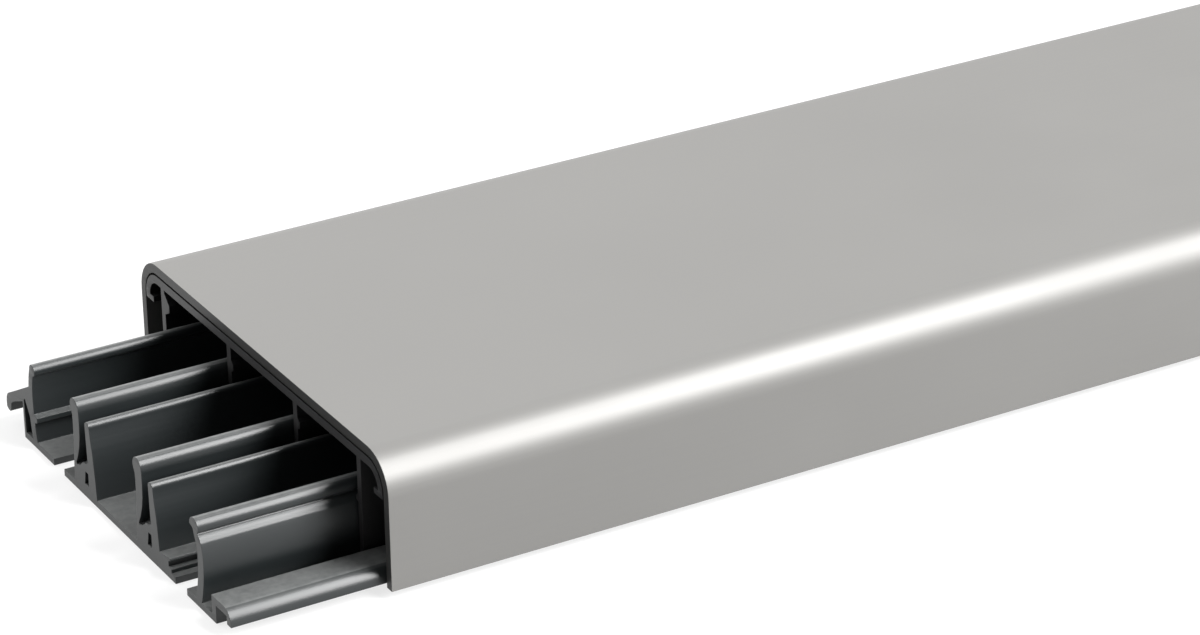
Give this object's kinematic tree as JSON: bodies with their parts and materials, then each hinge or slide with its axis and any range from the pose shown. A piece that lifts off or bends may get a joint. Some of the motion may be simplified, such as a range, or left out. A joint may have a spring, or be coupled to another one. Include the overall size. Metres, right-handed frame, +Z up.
{
  "type": "cable raceway",
  "caption": "Low rectangular cable raceway: a dark plastic base divided into open compartments, a clip profile and a clip-on aluminium cover set back at one end.",
  "frame": {"origin": "middle of the underside, on the surface that the raceway lies on", "axes": "+X along the length, away from the end where the base shows beyond the cover; +Z up, out of the cover's face; +Y towards the side with the sloping hook arm"},
  "size_m": [2, 0.075, 0.02],
  "materials": {
    "anthracite_plastic": "semi-gloss extruded plastic, dark grey",
    "satin_aluminium": "satin anodised, fine grain along the length",
    "black_plastic": "satin extruded plastic, nearly black"
  },
  "bodies": {
    "root": {"base": "anthracite_plastic", "cover": "satin_aluminium", "clip_profile": "black_plastic"}
  },
  "joints": []
}
